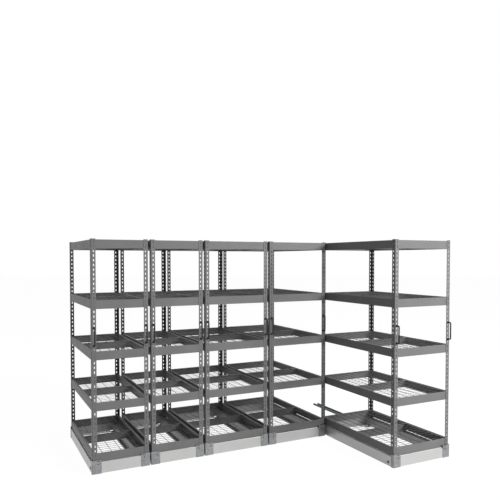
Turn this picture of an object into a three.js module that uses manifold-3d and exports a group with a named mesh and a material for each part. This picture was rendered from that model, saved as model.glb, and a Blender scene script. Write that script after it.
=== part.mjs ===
// A row of five sliding shelving carriages, in millimetres, +Z up.
// Each carriage is a slotted-angle shelf stack on a low rolling base. Its rear wheels run in a
// pair of floor channels and its front wheels roll on the floor, so it pulls out along -Y.
// X runs along the row, Y from the front to the back. The origin is the centre of the row's
// footprint on the floor, with the last carriage pulled out.

import * as THREE from 'three';
import * as BufferGeometryUtils from 'three/addons/utils/BufferGeometryUtils.js';
import Module from 'manifold-3d';

// Driving dimensions of the row
const narrowWidth = 473;
const wideWidth = 626;
const stackDepth = 1074;
const postTop = 1937;
const baseGap = 8;
const pulledOverlap = 84;
const wideFlags = [false, false, true, true, true];
const pulledFlags = [false, false, false, false, true];

// Clearances that pieces share
const seatGap = 0.3;
const axleGap = 0.3;
const weldSink = 0.4;
const cutOverrun = 6;

// Slotted-angle posts
const postFlange = 38;
const postSteel = 2.5;

// Shelf levels, as shares of the slots between the bottom shelf's top edge and the post's top
const slotPitch = 38.1;
const bottomShelfTop = 178;
const levelShares = [0, 0.24, 0.48, 0.72, 1];

// Shelf beams, cross tie and wire deck
const beamHeight = 72;
const beamSteel = 2;
const beamLedge = 20;
const beamBottomLip = 6;
const tieHeight = 62;
const tieFlange = 22;
const wireSize = 4;
const wirePitch = 77;
const wireInset = 6;

// Rolling base
const railBottom = 12;
const railTop = 100;
const railSteel = 3;
const railFloorFlange = 22;
const memberTopFlange = 25;
const memberPostGap = 1.5;

// Corner brackets, wrapped round the outside of the rails
const bracketSteel = 3;
const bracketReach = 8;
const bracketFace = 78;
const bracketReturn = 33;
const bracketBottom = 10;
const bracketTop = 122;

// Floor channels
const trackWidth = 66;
const trackHeight = 20;
const trackSteel = 3;
const trackSlot = 34;
const trackSideInset = 51;
const trackNoseLength = 3;
const trackRearInset = 4;
const gaugeBarWidth = 40;
const gaugeBarThickness = 4;
const gaugeBarInset = 102;
const trackStopLength = 24;
const trackStopGap = 1.3;

// Anti-tip shoes that hook under the channel lips
const shoeStemWidth = 20;
const shoeFootWidth = 44;
const shoeFootBottom = 7;
const shoeFootTop = 12;
const shoeDepth = 10;
const shoePlateTop = 60;
const notchSideGap = 5;
const notchTopGap = 6;

// Wheels and axles
const frontWheelRadius = 44;
const frontWheelWidth = 32;
const frontAxleRadius = 7;
const frontAxleInset = 62;
const frontWheelSideInset = 107;
const rearWheelRadius = 25;
const rearWheelWidth = 20;
const rearAxleRadius = 6;
const rearAxleInset = 48;
const tyreChamfer = 3;
const hubReach = 7;
const hubMargin = 8;
const axleEndReach = 7;

// Pull handles
const handleLength = 160;
const handleCentre = 1138;
const handleStandOff = 38;
const handleBar = 12;
const handleSideInset = 20;
const handleBend = 14;

// Facet counts
const frontWheelSides = 12;
const rearWheelSides = 10;
const axleHoleSides = 6;
const handleBendSteps = 2;

const wasm = await Module();
wasm.setup();

// Solid helpers

function solidFrom(geometry) {
  const bare = geometry.index ? geometry.toNonIndexed() : geometry.clone();
  bare.deleteAttribute('normal');
  bare.deleteAttribute('uv');
  const merged = BufferGeometryUtils.mergeVertices(bare);
  return new wasm.Manifold(new wasm.Mesh({
    numProp: 3,
    vertProperties: merged.attributes.position.array,
    triVerts: new Uint32Array(merged.index.array),
  }));
}

function geometryFrom(solid) {
  const mesh = solid.getMesh();
  const geometry = new THREE.BufferGeometry();
  geometry.setAttribute('position', new THREE.BufferAttribute(mesh.vertProperties, 3));
  geometry.setIndex(new THREE.BufferAttribute(mesh.triVerts, 1));
  geometry.computeVertexNormals();
  return geometry;
}

function joined(solids) {
  return solids.reduce((sum, solid) => sum.add(solid));
}

function block([x0, x1], [y0, y1], [z0, z1]) {
  const geometry = new THREE.BoxGeometry(x1 - x0, y1 - y0, z1 - z0);
  geometry.translate((x0 + x1) / 2, (y0 + y1) / 2, (z0 + z1) / 2);
  return solidFrom(geometry);
}

function shapeFrom(points) {
  return new THREE.Shape(points.map(([a, b]) => new THREE.Vector2(a, b)));
}

// A section drawn in X and Y, run up along Z
function runUp(points, [z0, z1]) {
  const geometry = new THREE.ExtrudeGeometry(shapeFrom(points), { depth: z1 - z0, bevelEnabled: false });
  geometry.translate(0, 0, z0);
  return solidFrom(geometry);
}

// A section drawn in Y and Z, run along X
function runAcross(points, [x0, x1]) {
  const geometry = new THREE.ExtrudeGeometry(shapeFrom(points), { depth: x1 - x0, bevelEnabled: false });
  geometry.rotateX(Math.PI / 2);
  geometry.rotateZ(Math.PI / 2);
  geometry.translate(x0, 0, 0);
  return solidFrom(geometry);
}

// A section drawn in X and Z, run along Y
function runBack(points, [y0, y1]) {
  const mirrored = points.map(([x, z]) => [-x, z]);
  const geometry = new THREE.ExtrudeGeometry(shapeFrom(mirrored), { depth: y1 - y0, bevelEnabled: false });
  geometry.rotateX(Math.PI / 2);
  geometry.rotateZ(Math.PI);
  geometry.translate(0, y0, 0);
  return solidFrom(geometry);
}

// A rectangular ring of one section with mitred corners: a four-sided lathe pulled out to size.
// The section gives the inset from the outer face and the height.
function mitredRing(section, width, depth) {
  const reach = width + depth;
  const closed = [...section, section[0]];
  const profile = closed.map(([inset, z]) => new THREE.Vector2(reach - inset, z));
  const geometry = new THREE.LatheGeometry(profile, 4, Math.PI / 4);
  geometry.rotateX(Math.PI / 2);
  const position = geometry.attributes.position;
  for (let i = 0; i < position.count; i += 1) {
    const x = position.getX(i);
    const y = position.getY(i);
    const inset = reach - Math.hypot(x, y);
    position.setX(i, Math.sign(x) * (width / 2 - inset));
    position.setY(i, Math.sign(y) * (depth / 2 - inset));
  }
  geometry.translate(0, stackDepth / 2, 0);
  return solidFrom(geometry);
}

// Places worked out from the sizes above

const travel = stackDepth - pulledOverlap;
const slotCount = Math.floor((postTop - bottomShelfTop) / slotPitch);
const levelPitchCounts = levelShares.map((share) => Math.round(share * slotCount));
const shelfTops = levelPitchCounts.map((count) => bottomShelfTop + count * slotPitch);
const postFoot = railBottom + railSteel + seatGap;
const railFace = bracketReach - bracketSteel;
const memberTop = bottomShelfTop - beamHeight;
const memberPlace = postFlange + memberPostGap;
const beamInset = postSteel + seatGap;
const trackRearEnd = stackDepth - trackRearInset;
const frontAxleHeight = frontWheelRadius;
const rearAxleHeight = trackSteel + seatGap + rearWheelRadius;
const rearAxlePlace = stackDepth - rearAxleInset;
const shoeBack = stackDepth + railFace - railSteel + weldSink;
const shoeFront = shoeBack - shoeDepth;
const trackStopBack = shoeFront - travel - trackStopGap;
const trackStopFront = trackStopBack - trackStopLength;
const trackFrontStart = trackStopFront - trackNoseLength;
const gaugeBarStart = trackFrontStart + gaugeBarInset;

// Posts

function anglePost() {
  const section = [
    [0, 0],
    [postFlange, 0],
    [postFlange, postSteel],
    [postSteel, postSteel],
    [postSteel, postFlange],
    [0, postFlange],
  ];
  return runUp(section, [postFoot, postTop]);
}

// The flat C of a pull handle, with rounded outer corners, standing on the post's front face
function pullHandle(width) {
  const low = handleCentre - handleLength / 2;
  const high = handleCentre + handleLength / 2;
  const front = -handleStandOff;
  const outline = new THREE.Shape();
  outline.moveTo(weldSink, low);
  outline.lineTo(weldSink, low + handleBar);
  outline.lineTo(front + handleBar, low + handleBar);
  outline.lineTo(front + handleBar, high - handleBar);
  outline.lineTo(weldSink, high - handleBar);
  outline.lineTo(weldSink, high);
  outline.lineTo(front + handleBend, high);
  outline.absarc(front + handleBend, high - handleBend, handleBend, Math.PI / 2, Math.PI, false);
  outline.lineTo(front, low + handleBend);
  outline.absarc(front + handleBend, low + handleBend, handleBend, Math.PI, 3 * Math.PI / 2, false);
  const geometry = new THREE.ExtrudeGeometry(outline, {
    depth: handleBar,
    bevelEnabled: false,
    curveSegments: handleBendSteps,
  });
  geometry.rotateX(Math.PI / 2);
  geometry.rotateZ(Math.PI / 2);
  geometry.translate(-width / 2 + handleSideInset - handleBar / 2, 0, 0);
  return solidFrom(geometry);
}

function frontLeftPost(width) {
  return anglePost().translate([-width / 2, 0, 0]).add(pullHandle(width));
}

// The rear post's foot is coped over the channel like the member behind it
function rearLeftPost(width) {
  const post = anglePost().mirror([0, 1, 0]).translate([-width / 2, stackDepth, 0]);
  return post.subtract(trackNotch(width));
}

// Shelves

// A folded beam with a hemmed top edge and, one wire lower, a ledge for the wire deck
function beamRing(width, top) {
  const bottom = top - beamHeight;
  const ledge = top - wireSize;
  const hem = 2 * beamSteel;
  const section = [
    [0, bottom],
    [beamBottomLip, bottom],
    [beamBottomLip, bottom + beamSteel],
    [beamSteel, bottom + beamSteel],
    [beamSteel, ledge - beamSteel],
    [beamLedge, ledge - beamSteel],
    [beamLedge, ledge],
    [hem, ledge],
    [hem, top],
    [0, top],
  ];
  return mitredRing(section.reverse(), width - 2 * beamInset, stackDepth - 2 * beamInset);
}

function crossTie(width, beamTop) {
  const front = (stackDepth - tieFlange) / 2;
  const back = front + tieFlange;
  const top = beamTop - wireSize - weldSink - seatGap;
  const bottom = top - tieHeight;
  const reach = width / 2 - beamInset - beamSteel / 2;
  const section = [
    [front, bottom],
    [back, bottom],
    [back, bottom + beamSteel],
    [front + beamSteel, bottom + beamSteel],
    [front + beamSteel, top - beamSteel],
    [back, top - beamSteel],
    [back, top],
    [front, top],
  ];
  return runAcross(section, [-reach, reach]);
}

// A three-sided wire from the front beam's ledge to the rear beam's, just clear of the tie
function deckWire(x, top) {
  const low = top - wireSize - weldSink;
  const section = [
    [x - wireSize / 2, low],
    [x + wireSize / 2, low],
    [x, low + wireSize],
  ];
  return runBack(section, [beamInset + wireInset, stackDepth - beamInset - wireInset]);
}

function wireDeck(width, top) {
  const clearHalf = width / 2 - beamInset - beamLedge;
  const perSide = Math.floor((clearHalf - wireSize) / wirePitch);
  const wires = [];
  for (let i = -perSide; i <= perSide; i += 1) {
    wires.push(deckWire(i * wirePitch, top));
  }
  return wires;
}

function shelf(width, top) {
  return joined([beamRing(width, top), crossTie(width, top), ...wireDeck(width, top)]);
}

// Rolling base, with the bottom shelf standing on its front and rear members

function railRing(width) {
  const section = [
    [0, railBottom],
    [railFloorFlange, railBottom],
    [railFloorFlange, railBottom + railSteel],
    [railSteel, railBottom + railSteel],
    [railSteel, railTop],
    [0, railTop],
  ];
  return mitredRing(section.reverse(), width + 2 * railFace, stackDepth + 2 * railFace);
}

// The top flanges run between the posts: the front one carries the bottom shelf's beam, and
// the side ones lie a little lower
function frontCap(width) {
  const reach = width / 2 - memberPlace;
  const section = [
    [-railFace, railTop - weldSink],
    [-railFace + railSteel, railTop - weldSink],
    [-railFace + railSteel, memberTop - railSteel + weldSink],
    [-railFace + memberTopFlange, memberTop - railSteel + weldSink],
    [-railFace + memberTopFlange, memberTop + weldSink],
    [-railFace, memberTop + weldSink],
  ];
  return runAcross(section, [-reach, reach]);
}

function leftFlange(width) {
  const outer = -width / 2 - railFace;
  return block(
    [outer + seatGap, outer + memberTopFlange],
    [memberPlace, stackDepth - memberPlace],
    [railTop - railSteel, railTop + weldSink],
  );
}

// The bracket at the front left corner, an angle taller than the rails
function cornerBracket(width) {
  const left = -width / 2 - bracketReach;
  const front = -bracketReach;
  const section = [
    [left, front],
    [left + bracketFace, front],
    [left + bracketFace, front + bracketSteel + weldSink],
    [left + bracketSteel + weldSink, front + bracketSteel + weldSink],
    [left + bracketSteel + weldSink, front + bracketReturn],
    [left, front + bracketReturn],
  ];
  return runUp(section, [bracketBottom, bracketTop]);
}

function toRear(solid) {
  return solid.mirror([0, 1, 0]).translate([0, stackDepth, 0]);
}

function toRight(solid) {
  return solid.mirror([1, 0, 0]);
}

function trackCentre(width) {
  return -width / 2 + trackSideInset;
}

// The hook that hangs from the rear member into the channel's slot
function tipShoe(width) {
  const centre = trackCentre(width);
  const plate = block(
    [centre - shoeStemWidth / 2, centre + shoeStemWidth / 2],
    [shoeFront, shoeBack],
    [shoeFootBottom, shoePlateTop],
  );
  const foot = block(
    [centre - shoeFootWidth / 2, centre + shoeFootWidth / 2],
    [shoeFront, shoeBack],
    [shoeFootBottom, shoeFootTop],
  );
  return plate.add(foot);
}

// Room for the channel under the rear member
function trackNotch(width) {
  const centre = trackCentre(width);
  const half = trackWidth / 2 + notchSideGap;
  return block(
    [centre - half, centre + half],
    [stackDepth - railFloorFlange - cutOverrun, stackDepth + bracketReach + cutOverrun],
    [bracketBottom - cutOverrun, trackHeight + notchTopGap],
  );
}

function axleHoles(width, radius, place, height) {
  const length = width + 2 * bracketReach + cutOverrun;
  const geometry = new THREE.CylinderGeometry(radius, radius, length, axleHoleSides);
  geometry.rotateZ(Math.PI / 2);
  geometry.translate(0, place, height);
  return solidFrom(geometry);
}

// A drilled hole's facets stand outside the axle by the running gap
function holeRadius(axleRadius) {
  return (axleRadius + axleGap) / Math.cos(Math.PI / axleHoleSides);
}

function rollingBase(width) {
  const frontLeft = cornerBracket(width);
  const rearLeft = toRear(frontLeft);
  const front = frontCap(width);
  const left = leftFlange(width);
  const frame = joined([
    railRing(width),
    front,
    toRear(front),
    left,
    toRight(left),
    frontLeft,
    toRight(frontLeft),
    rearLeft,
    toRight(rearLeft),
  ]);
  const notch = trackNotch(width);
  const shoe = tipShoe(width);
  return frame
    .subtract(notch)
    .subtract(toRight(notch))
    .subtract(axleHoles(width, holeRadius(frontAxleRadius), frontAxleInset, frontAxleHeight))
    .subtract(axleHoles(width, holeRadius(rearAxleRadius), rearAxlePlace, rearAxleHeight))
    .add(shoe)
    .add(toRight(shoe))
    .add(shelf(width, bottomShelfTop));
}

// Wheelsets: two wheels pressed on one through axle, turned as a single profile about X.
// The wheel is the profile of the right-hand wheel, from its outer side to its inner side.

function wheelset(width, wheel, axle) {
  const end = width / 2 + axleEndReach;
  const half = [
    [0, end],
    [axle.radius, end],
    [axle.radius, wheel[0][1]],
    ...wheel,
    [axle.radius, wheel[wheel.length - 1][1]],
  ];
  const mirroredHalf = half.map(([radius, x]) => [radius, -x]).reverse();
  const profile = [...half, ...mirroredHalf].map(([radius, x]) => new THREE.Vector2(radius, x));
  const geometry = new THREE.LatheGeometry(profile.reverse(), axle.sides);
  geometry.rotateZ(Math.PI / 2);
  geometry.translate(0, axle.place, axle.height);
  return solidFrom(geometry);
}

// Wide tyred wheels with a hub boss, inboard of the channels
function frontWheelset(width) {
  const outer = width / 2 - frontWheelSideInset + frontWheelWidth / 2;
  const inner = outer - frontWheelWidth;
  const hub = frontAxleRadius + hubMargin;
  const wheel = [
    [hub, outer + hubReach],
    [hub, outer],
    [frontWheelRadius - tyreChamfer, outer],
    [frontWheelRadius, outer - tyreChamfer],
    [frontWheelRadius, inner + tyreChamfer],
    [frontWheelRadius - tyreChamfer, inner],
  ];
  return wheelset(width, wheel, {
    radius: frontAxleRadius,
    sides: frontWheelSides,
    place: frontAxleInset,
    height: frontAxleHeight,
  });
}

// Narrow rollers that run in the channels between the lips
function rearWheelset(width) {
  const outer = width / 2 - trackSideInset + rearWheelWidth / 2;
  const inner = outer - rearWheelWidth;
  const wheel = [
    [rearWheelRadius, outer],
    [rearWheelRadius, inner],
  ];
  return wheelset(width, wheel, {
    radius: rearAxleRadius,
    sides: rearWheelSides,
    place: rearAxlePlace,
    height: rearAxleHeight,
  });
}

// Floor channels, held at their gauge by one flat bar

function floorChannel(width) {
  const centre = trackCentre(width);
  const half = trackWidth / 2;
  const inner = half - trackSteel;
  const slotHalf = trackSlot / 2;
  const lip = trackHeight - trackSteel;
  const section = [
    [-half, 0],
    [half, 0],
    [half, trackHeight],
    [slotHalf, trackHeight],
    [slotHalf, lip],
    [inner, lip],
    [inner, trackSteel],
    [-inner, trackSteel],
    [-inner, lip],
    [-slotHalf, lip],
    [-slotHalf, trackHeight],
    [-half, trackHeight],
  ].map(([x, z]) => [centre + x, z]);
  return runBack(section, [trackFrontStart, trackRearEnd]);
}

// Blocks under the lips that the shoe's foot meets at full travel
function trackStops(width) {
  const centre = trackCentre(width);
  const low = trackSteel - weldSink;
  const high = trackHeight - trackSteel + weldSink;
  const near = trackSlot / 2 - weldSink;
  const far = trackWidth / 2 - trackSteel + weldSink;
  return [
    block([centre - far, centre - near], [trackStopFront, trackStopBack], [low, high]),
    block([centre + near, centre + far], [trackStopFront, trackStopBack], [low, high]),
  ];
}

function trackPair(width) {
  const left = joined([floorChannel(width), ...trackStops(width)]);
  const barReach = width / 2 - trackSideInset - trackWidth / 2 + trackSteel / 2;
  const bar = block(
    [-barReach, barReach],
    [gaugeBarStart, gaugeBarStart + gaugeBarWidth],
    [0, gaugeBarThickness],
  );
  return joined([left, toRight(left), bar]);
}

// Finishes

const finishes = {
  darkPaint: new THREE.MeshStandardMaterial({ color: 0x6f7173, roughness: 0.55, metalness: 0.3 }),
  satinAluminium: new THREE.MeshStandardMaterial({ color: 0xb9bbbb, roughness: 0.4, metalness: 0.8 }),
  trackSteel: new THREE.MeshStandardMaterial({ color: 0x3f4c4a, roughness: 0.5, metalness: 0.5 }),
  wheelSteel: new THREE.MeshStandardMaterial({ color: 0x8a8c8e, roughness: 0.4, metalness: 0.7 }),
  wheelTyre: new THREE.MeshStandardMaterial({ color: 0x1d1e20, roughness: 0.7, metalness: 0 }),
};

function named(name, solid, finish) {
  const mesh = new THREE.Mesh(geometryFrom(solid), finish);
  mesh.name = name;
  return mesh;
}

// One carriage: what slides goes in one group, and its floor channels stay behind

function carriage(number, width) {
  const label = `carriage_${number}`;
  const frontPost = frontLeftPost(width);
  const rearPost = rearLeftPost(width);
  const sliding = new THREE.Group();
  sliding.add(
    named(`${label}_base`, rollingBase(width), finishes.satinAluminium),
    named(`${label}_post_front_left`, frontPost, finishes.darkPaint),
    named(`${label}_post_front_right`, toRight(frontPost), finishes.darkPaint),
    named(`${label}_post_rear_left`, rearPost, finishes.darkPaint),
    named(`${label}_post_rear_right`, toRight(rearPost), finishes.darkPaint),
    named(`${label}_front_wheels`, frontWheelset(width), finishes.wheelTyre),
    named(`${label}_rear_wheels`, rearWheelset(width), finishes.wheelSteel),
  );
  shelfTops.slice(1).forEach((top, index) => {
    sliding.add(named(`${label}_shelf_${index + 2}`, shelf(width, top), finishes.darkPaint));
  });
  const tracks = named(`${label}_tracks`, trackPair(width), finishes.trackSteel);
  return { sliding, tracks };
}

const row = new THREE.Group();
const baseWidths = wideFlags.map((wide) => (wide ? wideWidth : narrowWidth) + 2 * bracketReach);
const rowLength = baseWidths.reduce((sum, width) => sum + width + baseGap, -baseGap);
const rowFront = -travel - handleStandOff;
const rowBack = stackDepth + bracketReach;
let left = -rowLength / 2;
baseWidths.forEach((baseWidth, index) => {
  const { sliding, tracks } = carriage(index + 1, baseWidth - 2 * bracketReach);
  if (pulledFlags[index]) sliding.position.y = -travel;
  const unit = new THREE.Group();
  unit.add(sliding, tracks);
  unit.position.set(left + baseWidth / 2, -(rowFront + rowBack) / 2, 0);
  row.add(unit);
  left += baseWidth + baseGap;
});

export default row;
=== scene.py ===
# Five pull-out shelf carriages on their floor channels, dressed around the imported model.
# Metres throughout, X along the row, Y from front to back, Z up.

import math

import bmesh
import bpy
from mathutils import Matrix, Vector


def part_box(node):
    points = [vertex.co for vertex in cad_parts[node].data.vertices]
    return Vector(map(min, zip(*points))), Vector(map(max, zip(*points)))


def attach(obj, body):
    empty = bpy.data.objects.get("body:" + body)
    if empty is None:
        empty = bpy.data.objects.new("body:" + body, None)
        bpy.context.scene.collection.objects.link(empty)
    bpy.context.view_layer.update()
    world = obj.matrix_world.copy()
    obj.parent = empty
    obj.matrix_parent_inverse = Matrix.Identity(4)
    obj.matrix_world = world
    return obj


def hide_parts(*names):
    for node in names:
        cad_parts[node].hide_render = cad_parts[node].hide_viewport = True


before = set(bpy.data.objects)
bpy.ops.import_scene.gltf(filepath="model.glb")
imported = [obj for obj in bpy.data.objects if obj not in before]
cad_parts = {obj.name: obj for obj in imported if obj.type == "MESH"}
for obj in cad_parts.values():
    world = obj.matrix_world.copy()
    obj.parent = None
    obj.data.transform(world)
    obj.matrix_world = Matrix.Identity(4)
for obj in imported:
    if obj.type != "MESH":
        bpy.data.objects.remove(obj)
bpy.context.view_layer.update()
print("stage: frame loaded")

xAxis, yAxis, zAxis = Vector((1, 0, 0)), Vector((0, 1, 0)), Vector((0, 0, 1))
inPlace, shifted = Matrix.Identity(4), Matrix.Translation
aboutX, aboutY = Matrix.Rotation(math.pi / 2, 4, "X"), Matrix.Rotation(math.pi / 2, 4, "Y")
toFront = Matrix.Rotation(-math.pi / 2, 4, "Z")  # what points along X points to the front
toSide = Matrix(((0, 1, 0, 0), (1, 0, 0, 0), (0, 0, 1, 0), (0, 0, 0, 1)))  # swaps X and Y
carriageNumbers = [1, 2, 3, 4, 5]
shelfNumbers = [1, 2, 3, 4, 5]
mergeGap = 0.00001
smoothAngle = math.radians(40)


# Mesh helpers

def everything(bm):
    return bm.verts[:] + bm.edges[:] + bm.faces[:]


def onlyVerts(result, key="geom"):
    return [item for item in result[key] if isinstance(item, bmesh.types.BMVert)]


def meshFrom(bm, name):  # the working mesh is used up
    mesh = bpy.data.meshes.new(name)
    bm.to_mesh(mesh)
    bm.free()
    return mesh


def newObject(name, content):
    thing = bpy.data.objects.new(name, content)
    bpy.context.scene.collection.objects.link(thing)
    return thing


def moveWhole(bm, matrix):  # places or mirrors a whole mesh
    bmesh.ops.transform(bm, matrix=matrix, verts=bm.verts)
    if matrix.determinant() < 0:
        bmesh.ops.reverse_faces(bm, faces=bm.faces)


def pour(bm, part, matrix=inPlace):  # adds a placed copy of one mesh to another
    copy = part.copy()
    moveWhole(copy, matrix)
    mesh = meshFrom(copy, "pour")
    bm.from_mesh(mesh)
    bpy.data.meshes.remove(mesh)


def mirrorAt(axis, place):  # a reflection in the plane where that coordinate equals place
    at = axis * place
    return shifted(at) @ Matrix.Scale(-1, 4, axis) @ shifted(-at)


def faceOut(bm, direction):  # winds a sheet so that its outermost face looks outwards
    bmesh.ops.remove_doubles(bm, verts=bm.verts, dist=mergeGap)
    bmesh.ops.recalc_face_normals(bm, faces=bm.faces)
    bm.normal_update()
    outer = max(bm.faces, key=lambda face: face.calc_center_median().dot(direction))
    if outer.normal.dot(direction) < 0:
        bmesh.ops.reverse_faces(bm, faces=bm.faces)


def closeSolid(bm):
    bmesh.ops.remove_doubles(bm, verts=bm.verts, dist=mergeGap)
    bmesh.ops.recalc_face_normals(bm, faces=bm.faces)


def cutBeyond(bm, place, normal):  # drops what lies past a plane
    bmesh.ops.bisect_plane(bm, geom=everything(bm), plane_co=place, plane_no=normal, clear_outer=True)


def scoreAt(bm, place, normal):  # adds edges where a plane crosses
    bmesh.ops.bisect_plane(bm, geom=everything(bm), plane_co=place, plane_no=normal)


def dropFaces(bm, test):  # the test is given each face's centre
    bmesh.ops.delete(bm, geom=[face for face in bm.faces if test(face.calc_center_median())],
                     context="FACES")


def copedSheet(sheet, place, top):  # leaves room for the channel past a place and below a height
    bm = sheet.copy()
    scoreAt(bm, (place, 0, 0), xAxis)
    scoreAt(bm, (0, 0, top), zAxis)
    dropFaces(bm, lambda at: at.x > place and at.z < top)
    return bm


def roundEdges(bm, edges, offset, segments):
    bmesh.ops.bevel(bm, geom=list(edges), offset=offset, segments=segments, profile=0.5,
                    affect="EDGES", material=-1)


def drawnOut(bm, edges, shift):  # extrudes edges, and gives the new vertices
    fresh = onlyVerts(bmesh.ops.extrude_edge_only(bm, edges=edges))
    bmesh.ops.translate(bm, vec=shift, verts=fresh)
    return fresh


def addCone(bm, sides, radius, depth, matrix=inPlace, taper=1):  # along Z, its far end tapered
    bmesh.ops.create_cone(bm, cap_ends=True, segments=sides, radius1=radius, radius2=radius * taper,
                          depth=depth, matrix=matrix)


def chain(bm, points):  # a few vertices joined in a line
    verts = [bm.verts.new(point) for point in points]
    return verts, [bm.edges.new(pair) for pair in zip(verts, verts[1:])]


def foldedSheet(section, length, bend, steps=2):
    # a section of inset and height, run along X from zero, with every fold rounded
    bm = bmesh.new()
    lines = chain(bm, [(0, inset, height) for inset, height in section])[1]
    drawnOut(bm, lines, (length, 0, 0))
    roundEdges(bm, [edge for edge in bm.edges if len(edge.link_faces) == 2], bend, steps)
    faceOut(bm, -yAxis)
    return bm


def turned(profile, steps):  # a profile of place along X and radius, spun about X
    bm = bmesh.new()
    verts, lines = chain(bm, [(place, 0, radius) for place, radius in profile])
    bmesh.ops.spin(bm, geom=verts + lines, cent=(0, 0, 0), axis=xAxis, angle=2 * math.pi,
                   steps=steps, use_merge=True)
    closeSolid(bm)
    return bm


def roundedBlock(size, edge, steps=2):
    bm = bmesh.new()
    bmesh.ops.create_cube(bm, size=1)
    bmesh.ops.scale(bm, vec=size, verts=bm.verts)
    roundEdges(bm, bm.edges[:], edge, steps)
    return bm


def slotLoop(bm, width, height, sides=12):  # a ring in X and Z with round ends
    turn = aboutX @ Matrix.Rotation(math.pi / sides, 4, "Z")
    ring = bmesh.ops.create_circle(bm, segments=sides, radius=min(width, height) / 2, matrix=turn)
    for vert in ring["verts"]:
        if height > width:
            vert.co.z += math.copysign((height - width) / 2, vert.co.z)
        else:
            vert.co.x += math.copysign((width - height) / 2, vert.co.x)
    return ring["verts"]


def loopEdges(verts):
    own = set(verts)
    return [edge for edge in {e for v in verts for e in v.link_edges} if set(edge.verts) <= own]


def punchSlot(bm, face, centre, width, height):  # opens a slot in one four-sided face along Y
    box = [[pick(v.co[axis] for v in face.verts) for pick in (min, max)] for axis in (0, 2)]
    sides = list(face.edges)
    bmesh.ops.delete(bm, geom=[face], context="FACES_KEEP_BOUNDARY")
    bmesh.ops.subdivide_edges(bm, edges=sides, cuts=2)

    def within(vert):
        return all(low - mergeGap < vert.co[axis] < high + mergeGap
                   for axis, (low, high) in zip((0, 2), box))

    rim = [e for e in bm.edges if e.is_boundary and all(within(v) for v in e.verts)]
    ring = slotLoop(bm, width, height)
    bmesh.ops.translate(bm, vec=centre, verts=ring)
    bmesh.ops.bridge_loops(bm, edges=rim + loopEdges(ring))


def addPiece(bm, name, finish, body, nodes, wall=0, smooth=False, paintedShadeInside=None):
    mesh = meshFrom(bm, name)
    mesh.materials.append(finishes[finish])
    if smooth:
        mesh.shade_smooth()
        mesh.set_sharp_from_angle(angle=smoothAngle)
    piece = newObject(name, mesh)
    if wall:
        sheet = piece.modifiers.new("wall", "SOLIDIFY")
        sheet.thickness = wall
        sheet.offset = -1
        sheet.use_even_offset = True
        if paintedShadeInside:  # the sheet's inner side takes a darker finish, a painted shade
            mesh.materials.append(finishes[paintedShadeInside])
            sheet.material_offset = 1
    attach(piece, body)
    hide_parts(*nodes)
    return piece


# Shader effects that several finishes share

pattern = {"noiseRange": (0.3, 0.7), "driftDetail": 4, "roughScale": 30, "roughDetail": 3,
           "patchScale": 14, "patchDetail": 5, "patchRange": (0.35, 0.65), "facingUp": (0.4, 0.95),
           "dustRoughness": 0.3, "rubDetail": 3, "longStretch": (9, 9, 260), "longRange": (0.66, 0.74),
           "uprightStretch": (210, 210, 11), "uprightRange": (0.68, 0.76),
           "zoneScale": 5, "zoneDetail": 2, "zoneRange": (0.52, 0.66), "peelDetail": 2,
           "brushStretch": (4, 4, 900), "brushDetail": 3, "crystalSizes": (1, 2.3), "reliefDepth": 0.0004}


def addNode(tree, kind, links=None, **settings):
    # each socket takes a value, or another node's output
    node = tree.nodes.new(kind)
    for key, value in settings.items():
        setattr(node, key, value)
    for key, value in (links or {}).items():
        if isinstance(value, bpy.types.NodeSocket):
            tree.links.new(value, node.inputs[key])
        else:
            node.inputs[key].default_value = value
    return node


def startGroup(name, inputs, outputs):
    group = bpy.data.node_groups.new(name, "ShaderNodeTree")
    for label, kind in inputs:
        group.interface.new_socket(name=label, in_out="INPUT", socket_type=f"NodeSocket{kind}")
    for label, kind in outputs:
        group.interface.new_socket(name=label, in_out="OUTPUT", socket_type=f"NodeSocket{kind}")
    return group, addNode(group, "NodeGroupInput").outputs, addNode(group, "NodeGroupOutput").inputs


def stretched(tree, scale=(1, 1, 1)):  # object coordinates, stretched for a pattern with a direction
    place = addNode(tree, "ShaderNodeTexCoord").outputs["Object"]
    return addNode(tree, "ShaderNodeMapping", {"Vector": place, "Scale": scale}).outputs["Vector"]


def noiseOf(tree, place, scale, detail):
    noise = addNode(tree, "ShaderNodeTexNoise", {"Vector": place, "Scale": scale, "Detail": detail})
    return noise.outputs["Fac"]


def ranged(tree, value, low, high, newLow=0, newHigh=1):
    node = addNode(tree, "ShaderNodeMapRange", {"Value": value, "From Min": low, "From Max": high,
                                                "To Min": newLow, "To Max": newHigh})
    return node.outputs["Result"]


def sums(tree, operation, first, second):
    return addNode(tree, "ShaderNodeMath", {0: first, 1: second}, operation=operation).outputs[0]


def mixed(tree, factor, first, second):
    node = addNode(tree, "ShaderNodeMix", {0: factor, 6: first, 7: second}, data_type="RGBA")
    return node.outputs[2]


def makeToneDrift():  # slow light and dark drift over a surface
    group, given, out = startGroup(
        "toneDrift", [("Colour", "Color"), ("Depth", "Float"), ("Scale", "Float")], [("Colour", "Color")])
    drift = noiseOf(group, stretched(group), given["Scale"], pattern["driftDetail"])
    swing = sums(group, "MULTIPLY", ranged(group, drift, *pattern["noiseRange"], -1, 1), given["Depth"])
    value = sums(group, "ADD", swing, 1)
    shifted = addNode(group, "ShaderNodeHueSaturation", {"Color": given["Colour"], "Value": value})
    group.links.new(shifted.outputs["Color"], out["Colour"])
    return group


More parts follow.
